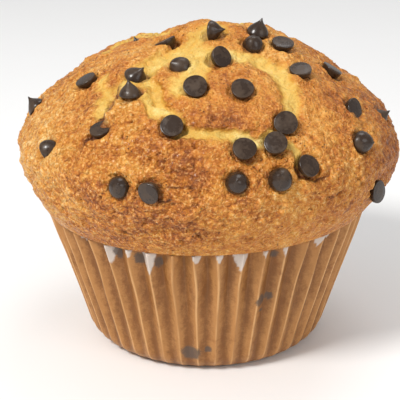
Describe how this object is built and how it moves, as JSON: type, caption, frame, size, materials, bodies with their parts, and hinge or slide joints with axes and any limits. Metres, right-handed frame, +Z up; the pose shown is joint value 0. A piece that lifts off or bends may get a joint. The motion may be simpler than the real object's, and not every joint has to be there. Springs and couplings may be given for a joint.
{
  "type": "chocolate-chip muffin",
  "caption": "Domed muffin with a browned, cracked crown that overhangs its pleated paper case, with small chocolate drops set in the crust.",
  "frame": {"origin": "centre of the paper case's flat base, on the surface that the muffin stands on", "axes": "+Z up through the crown, -Y towards the muffin's front, +X to its right as seen from the front"},
  "size_m": [0.0809, 0.0816, 0.0703],
  "materials": {
    "baked_crumb": "browned, cracked crust over pale yellow crumb, slightly moist",
    "case_paper": "thin greaseproof paper, pleated, tanned by the crumb behind it",
    "chocolate": "satin dark chocolate"
  },
  "bodies": {
    "root": {"muffin": "baked_crumb", "paper_case": "case_paper", "chip_01": "chocolate", "chip_02": "chocolate", "chip_03": "chocolate", "chip_04": "chocolate", "chip_05": "chocolate", "chip_06": "chocolate", "chip_07": "chocolate", "chip_08": "chocolate", "chip_09": "chocolate", "chip_10": "chocolate", "chip_11": "chocolate", "chip_12": "chocolate", "chip_13": "chocolate", "chip_14": "chocolate", "chip_15": "chocolate", "chip_16": "chocolate", "chip_17": "chocolate", "chip_18": "chocolate", "chip_19": "chocolate", "chip_20": "chocolate", "chip_21": "chocolate", "chip_22": "chocolate", "chip_23": "chocolate", "chip_24": "chocolate", "chip_25": "chocolate", "chip_26": "chocolate", "chip_27": "chocolate", "chip_28": "chocolate", "chip_29": "chocolate", "chip_30": "chocolate", "chip_31": "chocolate", "chip_32": "chocolate", "chip_33": "chocolate", "chip_34": "chocolate", "chip_35": "chocolate", "chip_36": "chocolate", "chip_37": "chocolate", "chip_38": "chocolate", "chip_39": "chocolate", "chip_40": "chocolate", "chip_41": "chocolate", "chip_42": "chocolate", "chip_43": "chocolate", "chip_44": "chocolate", "chip_45": "chocolate", "chip_46": "chocolate", "chip_47": "chocolate", "chip_48": "chocolate", "chip_49": "chocolate", "chip_50": "chocolate", "chip_51": "chocolate"}
  },
  "joints": []
}
